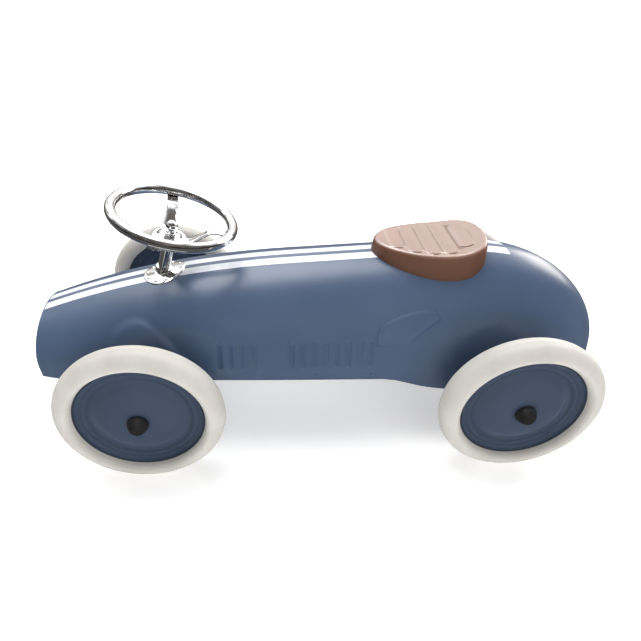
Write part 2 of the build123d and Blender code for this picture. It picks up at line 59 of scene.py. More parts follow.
# ------------------------------------------------------------------ shader helpers
class Shader:
    """One node material and short calls that add nodes to it."""

    def __init__(self, name):
        self.material = bpy.data.materials.new(name)
        self.material.use_nodes = True
        self.nodes = self.material.node_tree.nodes
        self.links = self.material.node_tree.links
        self.out = self.nodes["Principled BSDF"]
        self.place = self.add("ShaderNodeTexCoord").outputs["Object"]

    def add(self, kind, **settings):
        """New node with the given settings."""
        node = self.nodes.new(kind)
        for key, value in settings.items():
            setattr(node, key, value)
        return node

    def feed(self, source, target):
        """Link from an output to an input."""
        self.links.new(source, target)

    def put(self, **values):
        """Constant values on the shader's own sockets."""
        for key, value in values.items():
            self.out.inputs[key.replace("_", " ")].default_value = value

    def noise(self, scale, detail=4.0, roughness=0.55, stretch=(1, 1, 1)):
        """Soft noise in object space; the stretch squeezes it along an axis."""
        where = self.add("ShaderNodeMapping")
        where.inputs["Scale"].default_value = stretch
        self.feed(self.place, where.inputs["Vector"])
        node = self.add("ShaderNodeTexNoise")
        node.inputs["Scale"].default_value = scale
        node.inputs["Detail"].default_value = detail
        node.inputs["Roughness"].default_value = roughness
        self.feed(where.outputs["Vector"], node.inputs["Vector"])
        return node.outputs["Fac"]

    def cells(self, scale):
        """Distance to the nearest seed of a cell pattern."""
        node = self.add("ShaderNodeTexVoronoi", feature="F1")
        node.inputs["Scale"].default_value = scale
        self.feed(self.place, node.inputs["Vector"])
        return node.outputs["Distance"]

    def ramp(self, factor, *stops):
        """Colour ramp; each stop is a position and a colour or a grey."""
        node = self.add("ShaderNodeValToRGB")
        fill_ramp(node, stops)
        self.feed(factor, node.inputs["Fac"])
        return node.outputs["Color"]

    def math(self, operation, a, b=0.0, clamp=False):
        """One sum on two numbers or outputs."""
        node = self.add("ShaderNodeMath", operation=operation, use_clamp=clamp)
        for socket, value in zip(node.inputs, (a, b)):
            if isinstance(value, (int, float)):
                socket.default_value = value
            else:
                self.feed(value, socket)
        return node.outputs["Value"]

    def mix(self, factor, a, b):
        """Blend of two colours; sockets 6 and 7 of the node are its colours."""
        node = self.add("ShaderNodeMix", data_type="RGBA", blend_type="MIX")
        for socket, value in ((node.inputs[0], factor), (node.inputs[6], a), (node.inputs[7], b)):
            if isinstance(value, (int, float)):
                socket.default_value = value
            elif isinstance(value, tuple):
                socket.default_value = (*value, 1)
            else:
                self.feed(value, socket)
        return node.outputs[2]

    def attribute(self, name):
        """Number that the mesh stores at each point."""
        return self.add("ShaderNodeAttribute", attribute_name=name).outputs["Fac"]

    def colour(self, source):
        """Base colour from an output."""
        self.feed(source, self.out.inputs["Base Color"])

    def roughness(self, source, low, high):
        """Roughness that runs from low to high as the source runs from 0 to 1."""
        node = self.add("ShaderNodeMapRange")
        node.inputs["To Min"].default_value = low
        node.inputs["To Max"].default_value = high
        self.feed(source, node.inputs["Value"])
        self.feed(node.outputs["Result"], self.out.inputs["Roughness"])

    def bump(self, *layers):
        """Stacked bumps; each layer is a height source and a depth in metres."""
        normal = None
        for height, depth in layers:
            node = self.add("ShaderNodeBump")
            node.inputs["Strength"].default_value = 1.0
            node.inputs["Distance"].default_value = depth
            self.feed(height, node.inputs["Height"])
            if normal is not None:
                self.feed(normal, node.inputs["Normal"])
            normal = node.outputs["Normal"]
        self.feed(normal, self.out.inputs["Normal"])


def fill_ramp(node, stops):
    """Sets the stops of a colour ramp; each is a position and a colour or a grey."""
    band = node.color_ramp
    while len(band.elements) < len(stops):
        band.elements.new(1.0)
    for element, (position, colour) in zip(band.elements, stops):
        element.position = position
        grey = isinstance(colour, (int, float))
        element.color = (colour, colour, colour, 1) if grey else (*colour, 1)


# ------------------------------------------------------------------ materials
PAINT_BLUE = (0.071, 0.111, 0.193)
PAINT_DEEP = (0.058, 0.094, 0.167)
WHEEL_BLUE = (0.048, 0.071, 0.120)
WHEEL_DEEP = (0.037, 0.058, 0.100)
STRIPE_WHITE = (0.88, 0.90, 0.94)
STRIPE_INNER = 3.9 * MM
STRIPE_OUTER = 17.2 * MM
STRIPE_END_X = 224.5 * MM
STRIPE_END_SLANT = 0.10
STRIPE_BLUR = 0.25 * MM


def paint_base(name, deep, blue):
    """Satin enamel: faint orange peel, fine dust and soft tone changes."""
    s = Shader(name)
    tone = s.ramp(s.noise(7.0, 3.0), (0.30, deep), (0.70, blue))
    dust = s.ramp(s.noise(900.0, 2.0), (0.62, 0.0), (0.80, 0.10))
    tone = s.mix(dust, tone, (0.20, 0.25, 0.32))
    s.roughness(s.noise(24.0, 5.0), 0.30, 0.40)
    s.bump((s.noise(330.0, 2.0, 0.4), 0.05 * MM), (s.noise(38.0, 2.0), 0.25 * MM))
    s.put(Coat_Weight=0.30, Coat_Roughness=0.26, Specular_IOR_Level=0.5)
    return s, tone


def striped_paint():
    """Body enamel with two white stripes along the centreline."""
    s, tone = paint_base("body_enamel", PAINT_DEEP, PAINT_BLUE)
    arc = s.attribute("arc_from_centre")
    inside = s.math("DIVIDE", s.math("SUBTRACT", arc, STRIPE_INNER), STRIPE_BLUR, clamp=True)
    outside = s.math("DIVIDE", s.math("SUBTRACT", STRIPE_OUTER, arc), STRIPE_BLUR, clamp=True)
    along = s.add("ShaderNodeSeparateXYZ")
    s.feed(s.place, along.inputs["Vector"])
    slant = s.math("MULTIPLY", along.outputs["Y"], STRIPE_END_SLANT)
    reach = s.math("SUBTRACT", s.math("SUBTRACT", STRIPE_END_X, along.outputs["X"]), slant)
    before_end = s.math("DIVIDE", reach, STRIPE_BLUR, clamp=True)
    width = s.math("MULTIPLY", inside, outside)
    length = s.math("MULTIPLY", before_end, s.attribute("outer_skin"))
    mask = s.math("MULTIPLY", width, length)
    print_grain = s.ramp(s.noise(120.0, 4.0), (0.25, (0.72, 0.76, 0.82)), (0.75, STRIPE_WHITE))
    s.colour(s.mix(mask, tone, print_grain))
    return s.material


def wheel_paint():
    """Wheel enamel with painted shade: darker in the grooves, at the rim and round the cap foot."""
    s, tone = paint_base("wheel_enamel", WHEEL_DEEP, WHEEL_BLUE)
    depth = s.attribute("painted_recess_shade")
    # The dark colour is painted shade in the grooves, at the rim and round the cap foot.
    s.colour(s.mix(depth, tone, (0.022, 0.032, 0.052)))
    return s.material


def plain_paint(name, low, high):
    """Satin enamel in one tone range, for small painted parts."""
    s = Shader(name)
    s.colour(s.ramp(s.noise(60.0, 3.0), (0.3, low), (0.7, high)))
    s.roughness(s.noise(150.0, 3.0), 0.34, 0.50)
    s.bump((s.noise(500.0, 2.0), 0.04 * MM))
    s.put(Coat_Weight=0.3, Coat_Roughness=0.2)
    return s.material


def cream_rubber():
    """Solid moulded tyre: pale cream, faint mottling and a soft waxy sheen."""
    s = Shader("cream_rubber")
    tone = s.ramp(s.noise(26.0, 4.0), (0.25, (0.535, 0.515, 0.475)), (0.75, (0.625, 0.608, 0.568)))
    specks = s.ramp(s.noise(1400.0, 1.0), (0.70, 0.0), (0.80, 0.35))
    s.colour(s.mix(specks, tone, (0.55, 0.52, 0.46)))
    s.roughness(s.noise(90.0, 4.0), 0.48, 0.66)
    s.bump((s.noise(1800.0, 2.0), 0.03 * MM), (s.noise(60.0, 2.0), 0.20 * MM))
    s.put(Specular_IOR_Level=0.35, Subsurface_Weight=0.06, Subsurface_Scale=0.002)
    return s.material


def tan_plastic():
    """Seat skin: soft plastic with a fine leather grain, polished on top and dull on the wall; painted shade
    darkens the wall, the turn of the rim and the valleys between the ribs.
    """
    s = Shader("seat_skin")
    tone = s.ramp(s.noise(34.0, 5.0), (0.28, (0.22, 0.095, 0.050)), (0.72, (0.27, 0.122, 0.068)))
    painted_shade = s.attribute("seat_painted_shade")
    # The dark brown is painted shade on the wall, the turn of the rim and the valleys between the ribs.
    tone = s.mix(painted_shade, tone, (0.055, 0.018, 0.008))
    grain = s.cells(1500.0)
    s.colour(s.mix(s.ramp(grain, (0.0, 0.16), (0.5, 0.0)), tone, (0.14, 0.065, 0.040)))
    s.roughness(s.noise(140.0, 4.0), 0.40, 0.54)
    s.bump((grain, 0.05 * MM), (s.noise(70.0, 3.0), 0.20 * MM))
    gloss = s.ramp(painted_shade, (0.15, 1.0), (0.50, 0.06))
    s.feed(gloss, s.out.inputs["Coat Weight"])
    s.put(Specular_IOR_Level=0.35, Coat_Roughness=0.36, Coat_IOR=2.35)
    return s.material


def chrome_plate():
    """Bright chrome with hairline polish marks and faint finger haze."""
    s = Shader("chrome_plate")
    s.colour(s.ramp(s.noise(40.0, 3.0), (0.3, (0.80, 0.80, 0.80)), (0.7, (0.90, 0.90, 0.91))))
    haze = s.noise(22.0, 5.0)
    s.roughness(haze, 0.03, 0.13)
    s.bump((s.noise(260.0, 3.0, 0.5, (1.0, 1.0, 6.0)), 0.012 * MM), (s.noise(55.0, 2.0), 0.10 * MM))
    s.put(Metallic=1.0)
    return s.material


def plated_steel(name, dark, light, rough):
    """Zinc plated or drawn steel: crystalline mottling and fine drawing lines."""
    s = Shader(name)
    mottle = s.mix(s.noise(90.0, 4.0), dark, light)
    s.colour(s.mix(s.ramp(s.cells(420.0), (0.0, 0.25), (0.6, 0.0)), mottle, dark))
    s.roughness(s.noise(210.0, 4.0), rough, rough + 0.18)
    s.bump((s.noise(700.0, 3.0, 0.6, (8.0, 1.0, 8.0)), 0.02 * MM))
    s.put(Metallic=1.0)
    return s.material


def moulded_plastic(name, low, high, rough):
    """Small moulded plastic parts: spark-eroded texture and soft tone changes."""
    s = Shader(name)
    s.colour(s.ramp(s.noise(120.0, 4.0), (0.3, low), (0.7, high)))
    s.roughness(s.noise(400.0, 3.0), rough, rough + 0.14)
    s.bump((s.noise(2200.0, 2.0), 0.03 * MM), (s.noise(180.0, 2.0), 0.05 * MM))
    return s.material


MATERIALS = {
    "body_paint": striped_paint(),
    "wheel_paint": wheel_paint(),
    "grille_paint": plain_paint("grille_enamel", (0.020, 0.024, 0.032), (0.032, 0.038, 0.050)),
    "rivet_paint": plain_paint("rivet_enamel", PAINT_DEEP, PAINT_BLUE),
    "tyre_rubber": cream_rubber(),
    "seat_plastic": tan_plastic(),
    "chrome": chrome_plate(),
    "bright_steel": plated_steel("drawn_steel", (0.50, 0.50, 0.51), (0.66, 0.66, 0.67), 0.20),
    "zinc_steel": plated_steel("zinc_plated_steel", (0.40, 0.41, 0.42), (0.58, 0.59, 0.60), 0.32),
    "nylon": moulded_plastic("natural_nylon", (0.62, 0.61, 0.57), (0.72, 0.71, 0.67), 0.45),
    "cap_plastic": moulded_plastic("black_cap_plastic", (0.010, 0.010, 0.011), (0.020, 0.020, 0.021), 0.34),
}


def dress_cad_nodes():
    """Each CAD node that stays visible takes its record slot's material."""
    for part in frame["record"]["subparts"]:
        node = frame["nodes"][part["node"]]
        node.data.materials.clear()
        node.data.materials.append(MATERIALS[part["material_slot"]])


# ------------------------------------------------------------------ mesh helpers
def new_piece(name, points, faces, body, slot, stands_for=(), sharp_degrees=40):
    """A mesh object that rides on a body and stands for CAD nodes."""
    mesh = bpy.data.meshes.new(name)
    mesh.from_pydata([tuple(p) for p in points], [], [tuple(f) for f in faces])
    mesh.validate()
    mesh.shade_smooth()
    mesh.set_sharp_from_angle(angle=math.radians(sharp_degrees))
    piece = bpy.data.objects.new(name, mesh)
    bpy.context.scene.collection.objects.link(piece)
    mesh.materials.append(MATERIALS[slot])
    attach(piece, body)
    if stands_for:
        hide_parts(*stands_for)
    return piece


def face_outwards(piece):
    """Turns the faces of a closed mesh to the outside."""
    work = bmesh.new()
    work.from_mesh(piece.data)
    bmesh.ops.recalc_face_normals(work, faces=work.faces)
    work.to_mesh(piece.data)
    work.free()


def mark_points(piece, name, values):
    """Stores one number for each point, for a material to read."""
    layer = piece.data.attributes.new(name, "FLOAT", "POINT")
    layer.data.foreach_set("value", np.asarray(values, np.float32))


def grid_faces(rows, columns, wrap_rows=False, wrap_columns=False, first=0):
    """Quads of a grid of points stored row by row."""
    faces = []
    for r in range(rows if wrap_rows else rows - 1):
        for c in range(columns if wrap_columns else columns - 1):
            r2 = (r + 1) % rows
            c2 = (c + 1) % columns
            faces.append([first + i * columns + j for i, j in ((r, c), (r, c2), (r2, c2), (r2, c))])
    return faces


def smooth_line(points, steps):
    """Catmull-Rom curve through the points, with the given steps in each span."""
    p = np.array([points[0]] + list(points) + [points[-1]], float)
    line = []
    for i in range(1, len(p) - 2):
        for t in np.linspace(0, 1, steps, endpoint=False):
            a = 2 * p[i]
            b = p[i + 1] - p[i - 1]
            c = 2 * p[i - 1] - 5 * p[i] + 4 * p[i + 1] - p[i + 2]
            d = 3 * p[i] - p[i - 1] - 3 * p[i + 1] + p[i + 2]
            line.append((a + b * t + c * t**2 + d * t**3) / 2)
    line.append(p[-2])
    return [tuple(q) for q in line]


def axis_frame(centre, axis, forward=(1, 0, 0)):
    """Matrix whose Z is the axis, for turned and pressed parts."""
    z = Vector(axis).normalized()
    x = (Vector(forward) - z * z.dot(Vector(forward))).normalized()
    turn = Matrix((x, z.cross(x), z)).transposed().to_4x4()
    turn.translation = Vector(centre)
    return turn


def lathe(profile, segments):
    """Closed ring of a profile of radius and height, in the local frame."""
    points = []
    for k in range(segments):
        turn = 2 * math.pi * k / segments
        points += [Vector((r * math.cos(turn), r * math.sin(turn), h)) for r, h in profile]
    return points, grid_faces(segments, len(profile), True, True)


def lathe_piece(name, profile, place, segments, body, slot, stands_for=(), sharp_degrees=40):
    """A turned piece at the given place."""
    points, faces = lathe([(max(r, 1e-5), h) for r, h in profile], segments)
    piece = new_piece(name, [place @ p for p in points], faces, body, slot, stands_for, sharp_degrees)
    face_outwards(piece)
    return piece


def sweep(path, radius, sides, closed=True):
    """Round tube along a path of points."""
    p = np.array(path, float)
    ahead = np.roll(p, -1, 0) - np.roll(p, 1, 0)
    if not closed:
        ahead[0] = p[1] - p[0]
        ahead[-1] = p[-1] - p[-2]
    ahead /= np.linalg.norm(ahead, axis=1)[:, None]
    side = np.cross(ahead[0], (0.31, 0.47, 0.83))
    points = []
    for q, t in zip(p, ahead):
        side = side - t * np.dot(side, t)
        side /= np.linalg.norm(side)
        up = np.cross(t, side)
        for k in range(sides):
            turn = 2 * math.pi * k / sides
            points.append(q + radius * (math.cos(turn) * side + math.sin(turn) * up))
    return points, grid_faces(len(p), sides, closed, True)


def smooth_step(value, start, end):
    """0 before the start, 1 after the end, and a soft climb between them."""
    share = np.clip((value - start) / (end - start), 0.0, 1.0)
    return share * share * (3 - 2 * share)


# ------------------------------------------------------------------ body shape, as in the CAD
NOSE_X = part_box("body_shell")[0].x
TAIL_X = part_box("body_shell")[1].x
ARCH_POWER = 2 / 2.06
CROWN_REAR_X = 166 * MM
CROWN_REAR_Z = 241.5 * MM
CROWN_SLOPE = 0.0623
NOSE_FALL_X = -50 * MM
NOSE_DROP = 47.2 * MM
TAIL_BASE_Z = 79.2 * MM
WIDEST_HALF = 99.3 * MM
NOSE_NARROW_X = 60 * MM
NOSE_NARROWING = 29 * MM
TAPER_X = 106 * MM
BASE_FRONT_Z = 103.6 * MM
BASE_STEP = (57 * MM, 140 * MM)
BOTTOM_LINE = ((-400, 94), (-296, 94), (-288, 114), (-222, 114), (-216, 106.5), (60, 102),
               (76, 99.5), (112, 88), (130, 84), (146, 83), (400, 83))
NOSE_BOTTOM_Z = BOTTOM_LINE[0][1] * MM
TAIL_BOTTOM_Z = BOTTOM_LINE[-1][1] * MM
SHEET = 1.2 * MM
NOSE_TUCK = 4 * MM
NOSE_TUCK_RISE = 38 * MM
NOSE_TUCK_REACH = 40 * MM
EDGE_ROLL = 1.1 * MM
ROUND_TAIL_X = 200 * MM


def crown_height(x):
    """Height of the body's top line at x."""
    x = np.asarray(x, float)
    fall = np.clip(NOSE_FALL_X - x, 0, None) / (NOSE_FALL_X - NOSE_X)
    height = CROWN_REAR_Z - CROWN_SLOPE * (CROWN_REAR_X - np.minimum(x, CROWN_REAR_X))
    height = height - NOSE_DROP * fall**2.2
    share = np.clip((x - CROWN_REAR_X) / (TAIL_X - CROWN_REAR_X), 0, 1)
    rise = CROWN_SLOPE * (x - CROWN_REAR_X) * (1 - share)
    tail = TAIL_BASE_Z + (height + rise - TAIL_BASE_Z) * np.sqrt(1 - share**2)
    return np.where(x > CROWN_REAR_X, tail, height)


def half_width(x):
    """Half of the body's width at its base."""
    x = np.asarray(x, float)
    narrow = np.clip(NOSE_NARROW_X - x, 0, None) / (NOSE_NARROW_X - NOSE_X)
    share = np.clip((x - TAPER_X) / (TAIL_X - TAPER_X), 0, 1)
    return (WIDEST_HALF - NOSE_NARROWING * narrow**4.3) * (1 - share**2.2) ** (1 / 2.2)


def base_height(x):
    """Height at which the arched section starts."""
    return BASE_FRONT_Z + (TAIL_BASE_Z - BASE_FRONT_Z) * smooth_step(x, *BASE_STEP)


def bottom_height(x):
    """Lower edge of the body in side view: nose, axle arch, sill and tail."""
    xs, zs = np.array(BOTTOM_LINE, float).T * MM
    blur = np.linspace(-3.5, 3.5, 7) * MM
    return np.mean([np.interp(x + b, xs, zs) for b in blur], axis=0)


def crown_side(x, y):
    """Height of the skin above a point of the plan."""
    share = np.clip(np.abs(y) / half_width(x), 0, 1)
    rise = crown_height(x) - base_height(x)
    return base_height(x) + rise * (1 - share ** (2 / ARCH_POWER)) ** (ARCH_POWER / 2)


def half_section(x, count):
    """Fine outline of one side of the section at x, from the crown to the lower edge."""
    turn = np.linspace(math.pi / 2, 0, count)
    base = float(base_height(x))
    rise = max(2 * MM, float(crown_height(x)) - base)
    y = np.cos(turn) ** ARCH_POWER * float(half_width(x))
    z = base + rise * np.sin(turn) ** ARCH_POWER
    low = min(float(bottom_height(x)), float(crown_height(x)) - 0.3 * MM)
    if low < base:
        y = np.append(y, y[-1])
        z = np.append(z, low)
    else:
        keep = z > low
        cut = np.interp(low, z[::-1], y[::-1])
        y = np.append(y[keep], cut)
        z = np.append(z[keep], low)
    return y, z


def skin_grid(xs, shares):
    """Points of both sides and the arc length from the crown, on a grid."""
    points = np.zeros((len(xs), 2 * len(shares) - 1, 3))
    arcs = np.zeros(points.shape[:2])
    middle = len(shares) - 1
    for i, x in enumerate(xs):
        y, z = half_section(x, 700)
        run = np.concatenate([[0], np.cumsum(np.hypot(np.diff(y), np.diff(z)))])
        at = shares * run[-1]
        y_at = np.interp(at, run, y)
        z_at = np.interp(at, run, z)
        columns = np.arange(len(shares))
        points[i, middle + columns] = np.stack([np.full(len(at), x), y_at, z_at], 1)
        points[i, middle - columns] = np.stack([np.full(len(at), x), -y_at, z_at], 1)
        arcs[i, middle + columns] = at
        arcs[i, middle - columns] = at
    return points, arcs


def tuck_nose(points):
    """Leans the lower front corner back, along the body's own sides."""
    low = np.clip(1 - (points[..., 2] - NOSE_BOTTOM_Z) / NOSE_TUCK_RISE, 0, 1)
    near = np.clip(1 - (points[..., 0] - NOSE_X) / NOSE_TUCK_REACH, 0, 1)
    moved = points[..., 0] + NOSE_TUCK * low * near
    points[..., 1] *= half_width(moved) / half_width(points[..., 0])
    points[..., 0] = moved
    return points


def grid_normals(points):
    """Outward normals of a grid of skin points."""
    along = np.gradient(points, axis=0)
    around = np.gradient(points, axis=1)
    normal = np.cross(around, along)
    length = np.linalg.norm(normal, axis=2)[..., None]
    normal = normal / np.maximum(length, 1e-12)
    body_middle = np.array([0.0, 0.0, 0.08])
    flip = np.sum(normal * (points - body_middle), axis=2) < 0
    normal[flip] *= -1
    return normal


# ------------------------------------------------------------------ pressed relief of the body's sides
LOUVRE_TOP = 157.5 * MM
LOUVRE_FOOT = 121.0 * MM
LOUVRE_WIDTH = 9.0 * MM
LOUVRE_LIFT = 3.0 * MM
LOUVRE_ROWS = ((-144.0 * MM, -104.3 * MM, 4), (-58.3 * MM, 39.5 * MM, 8))
PANEL_LIFT = 1.9 * MM
LEAF = [(47.5, 154), (47.6, 160), (48.8, 168.5), (56.6, 176.6), (78, 185.2), (96.5, 188.4),
        (114, 189), (123, 185), (125.3, 180), (121.7, 177), (98.5, 161.5), (88.8, 154.4),
        (82.7, 152.6), (65, 152.6), (50, 152.6)]
ARCH_LIFT = 2.6 * MM
ARCH_BEAD = 0.45 * MM
FRONT_ARCH = [(-283, 136), (-279.5, 152.6), (-277, 161), (-268, 169.5), (-254, 175.5),
              (-240, 175.5), (-227, 171), (-216, 164.5), (-201, 150.5), (-188, 132), (-190, 100),
              (-240, 90), (-286, 100)]
REAR_ARCH_X = 226 * MM
REAR_ARCH_FOOT = 84 * MM
REAR_ARCHES = ((118 * MM, 114 * MM, 3.0 * MM, 0.22), (92 * MM, 82 * MM, 1.8 * MM, 0.20))


def louvre_relief(x, z):
    """Raised slots: each climbs towards the rear and ends in a short step."""
    lift = np.zeros_like(x)
    foot = smooth_step(z, LOUVRE_FOOT, LOUVRE_FOOT + 2.6 * MM)
    top = smooth_step(-z, -LOUVRE_TOP, -LOUVRE_TOP + 4.5 * MM)
    for first, last, count in LOUVRE_ROWS:
        for centre in np.linspace(first, last, count):
            across = (x - centre) / (LOUVRE_WIDTH / 2)
            climb = np.clip((across + 1) / 1.65, 0, 1) ** 1.3
            step = smooth_step(-across, -1.0, -0.66)
            lift = np.maximum(lift, LOUVRE_LIFT * climb * step * (foot * top))
    return lift


def inside_distance(x, z, corners):
    """Distance to a smooth closed outline in side view; positive inside it."""
    outline = np.array(smooth_line(corners + corners[:1], 5)) * MM
    inside = np.zeros(x.shape, bool)
    nearest = np.full(x.shape, 1.0)
    for (x1, z1), (x2, z2) in zip(outline[:-1], outline[1:]):
        if z1 != z2:
            crosses = (z1 > z) != (z2 > z)
            inside ^= crosses & (x < (x2 - x1) * (z - z1) / (z2 - z1) + x1)
        length = max((x2 - x1) ** 2 + (z2 - z1) ** 2, 1e-12)
        share = np.clip(((x - x1) * (x2 - x1) + (z - z1) * (z2 - z1)) / length, 0, 1)
        nearest = np.minimum(nearest, np.hypot(x - x1 - share * (x2 - x1), z - z1 - share * (z2 - z1)))
    return np.where(inside, nearest, -nearest)


def panel_relief(x, z):
    """Raised leaf-shaped panel between the louvres and the rear wheel."""
    signed = inside_distance(x, z, LEAF)
    edge = smooth_step(signed, -1.0 * MM, 0.9 * MM)
    dip = 0.3 * smooth_step(signed, 2 * MM, 9 * MM)
    return PANEL_LIFT * edge * (1 - dip)


def front_arch_relief(x, z):
    """Swelling over the front wheel with a bead along its rear slope."""
    signed = inside_distance(x, z, FRONT_ARCH)
    bead = np.exp(-(((signed - 4.0 * MM) / (3.0 * MM)) ** 2)) * smooth_step(x, -250 * MM, -236 * MM)
    return ARCH_LIFT * smooth_step(signed, -3 * MM, 9 * MM) + ARCH_BEAD * bead


def bulge(x, z, centre_x, foot_z, reach, rise, lift, edge):
    """Soft half-round swelling above a wheel."""
    away = np.hypot((x - centre_x) / reach, (z - foot_z) / rise)
    return lift * (1 - smooth_step(away, 1 - edge, 1 + edge * 0.4))


def side_relief(x, z):
    """All pressings of one side together."""
    relief = louvre_relief(x, z) + panel_relief(x, z)
    relief += front_arch_relief(x, z)
    for reach, rise, lift, edge in REAR_ARCHES:
        relief += bulge(x, z, REAR_ARCH_X, REAR_ARCH_FOOT, reach, rise, lift, edge)
    fairing = bulge(x, z, -176 * MM, 172 * MM, 60 * MM, 14 * MM, 1.2 * MM, 0.8)
    return relief + fairing


def column_places():
    """Places of the sections: close together where the side has relief."""
    zones = ((NOSE_X, -300 * MM, 3.2), (-300 * MM, -212 * MM, 1.7), (-212 * MM, -150 * MM, 2.6),
             (-150 * MM, 47 * MM, 1.2), (47 * MM, 127 * MM, 1.3), (127 * MM, ROUND_TAIL_X, 3.0))
    xs = []
    for start, end, step in zones:
        count = max(2, round((end - start) / (step * MM)))
        xs += list(np.linspace(start, end, count, endpoint=False))
    reach = TAIL_X - 0.05 * MM - ROUND_TAIL_X
    xs += [ROUND_TAIL_X + reach * math.sin(turn) for turn in np.linspace(0, math.pi / 2, 58)]
    return np.array(xs)


def build_body():
    """Pressed skin, its inner face and the rolled edge round its rim."""
    xs = column_places()
    shares = np.concatenate([np.linspace(0, 0.42, 20, endpoint=False), np.linspace(0.42, 1, 76)])
    outer, arcs = skin_grid(xs, shares)
    relief = side_relief(outer[..., 0], outer[..., 2])
    from_edge = 1 - np.abs(np.linspace(-1, 1, outer.shape[1]))
    low_edge = smooth_step(from_edge, 0.0, 0.01)[None, :]
    nose_edge = smooth_step(outer[..., 0], NOSE_X, NOSE_X + 8 * MM)
    outer = outer + grid_normals(outer) * (relief * low_edge * nose_edge)[..., None]
    outer = tuck_nose(outer)
    front, tail = xs[xs < ROUND_TAIL_X], xs[xs >= ROUND_TAIL_X]
    inner_xs = np.concatenate([front[::3], tail[::2], xs[-1:]])
    inner, _ = skin_grid(np.unique(inner_xs), np.linspace(0, 1, 34))
    inner = tuck_nose(inner - grid_normals(inner) * SHEET)
    points = np.concatenate([outer.reshape(-1, 3), inner.reshape(-1, 3)])
    faces = grid_faces(*outer.shape[:2])
    count = outer.shape[0] * outer.shape[1]
    faces += [face[::-1] for face in grid_faces(*inner.shape[:2], first=count)]
    skin = new_piece("body_skin", points, faces, "chassis", "body_paint", ["body_shell"], 50)
    mark_points(skin, "arc_from_centre", np.append(arcs.ravel(), np.full(len(points) - count, 1.0)))
    mark_points(skin, "outer_skin", np.arange(len(points)) < count)
    build_edge_roll(outer)


def build_edge_roll(outer):
    """Rolled wire edge along both lower edges and over the nose."""
    step = 3
    left = outer[::step, 0]
    right = outer[::step, -1]
    nose = outer[0, ::2][::-1]
    path = np.concatenate([left, right[::-1], nose[1:-1]])
    keep = [path[0]]
    for point in path[1:]:
        if np.linalg.norm(point - keep[-1]) > 1.2 * MM:
            keep.append(point)
    path = np.array(keep)
    path[:, 0] = np.clip(path[:, 0], NOSE_X + EDGE_ROLL, TAIL_X - EDGE_ROLL)
    path[:, 1] -= np.sign(path[:, 1]) * np.minimum(0.5 * SHEET, np.abs(path[:, 1]))
    path[:, 2] = np.maximum(path[:, 2], TAIL_BOTTOM_Z + EDGE_ROLL)
    points, faces = sweep(path, EDGE_ROLL, 10)
    roll = new_piece("body_rolled_edge", points, faces, "chassis", "rivet_paint")
    face_outwards(roll)


# ------------------------------------------------------------------ seat
SEAT_LOW, SEAT_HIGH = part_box("seat")
SEAT_WIDE_X = 145 * MM
SEAT_CENTRE_X = 128 * MM
SEAT_HALF = (SEAT_HIGH.y - SEAT_LOW.y) / 2
SEAT_RIM = 5.4 * MM
SEAT_WALL_LEAN = 1.6 * MM
SEAT_DISH = 0.8 * MM
SEAT_FOOT_GAP = 0.2 * MM
SEAT_SEGMENTS = 420
RIB_LIFT = 1.7 * MM
RIBS = ((77, 27.5), (98, 38), (119, 43), (140, 42.5), (162.5, 31))
RIB_HALF = 10.6 * MM


def seat_outline(turn, shrink):
    """Egg-shaped plan of the seat; turn 0 points to the rear."""
    c = np.cos(turn)
    s = np.sin(turn)
    reach = np.where(c > 0, SEAT_HIGH.x - SEAT_WIDE_X, SEAT_WIDE_X - SEAT_LOW.x) - shrink
    power = np.where(c > 0, 0.8, 1.0)
    x = SEAT_WIDE_X + np.sign(c) * np.abs(c) ** power * reach
    y = np.sign(s) * np.abs(s) ** power * (SEAT_HALF - shrink)
    return x, y


def seat_rim_height(x):
    """Height of the seat's upper edge: level in front, climbing to the rear."""
    line = smooth_line([(44, 251.4), (70, 251.6), (100, 250.6), (130, 250.8), (150, 252.4),
                        (172, 256.8), (190, 261.2), (200, 263.0)], 8)
    xs, zs = np.array(line).T * MM
    return np.interp(x, xs, zs)


def rib_height(x, y):
    """Five broad cross ribs with round ends; the ends are steep and the valleys soft."""
    lift = np.zeros_like(x)
    for centre, reach in RIBS:
        across = (x - centre * MM) / RIB_HALF
        end = reach * MM - 5.5 * MM * across**2 - np.abs(y)
        pillow = np.clip(1 - np.abs(across) ** 2.6, 0, 1) ** 0.7
        lift = np.maximum(lift, pillow * smooth_step(end, -0.7 * MM, 1.0 * MM))
    return lift * RIB_LIFT


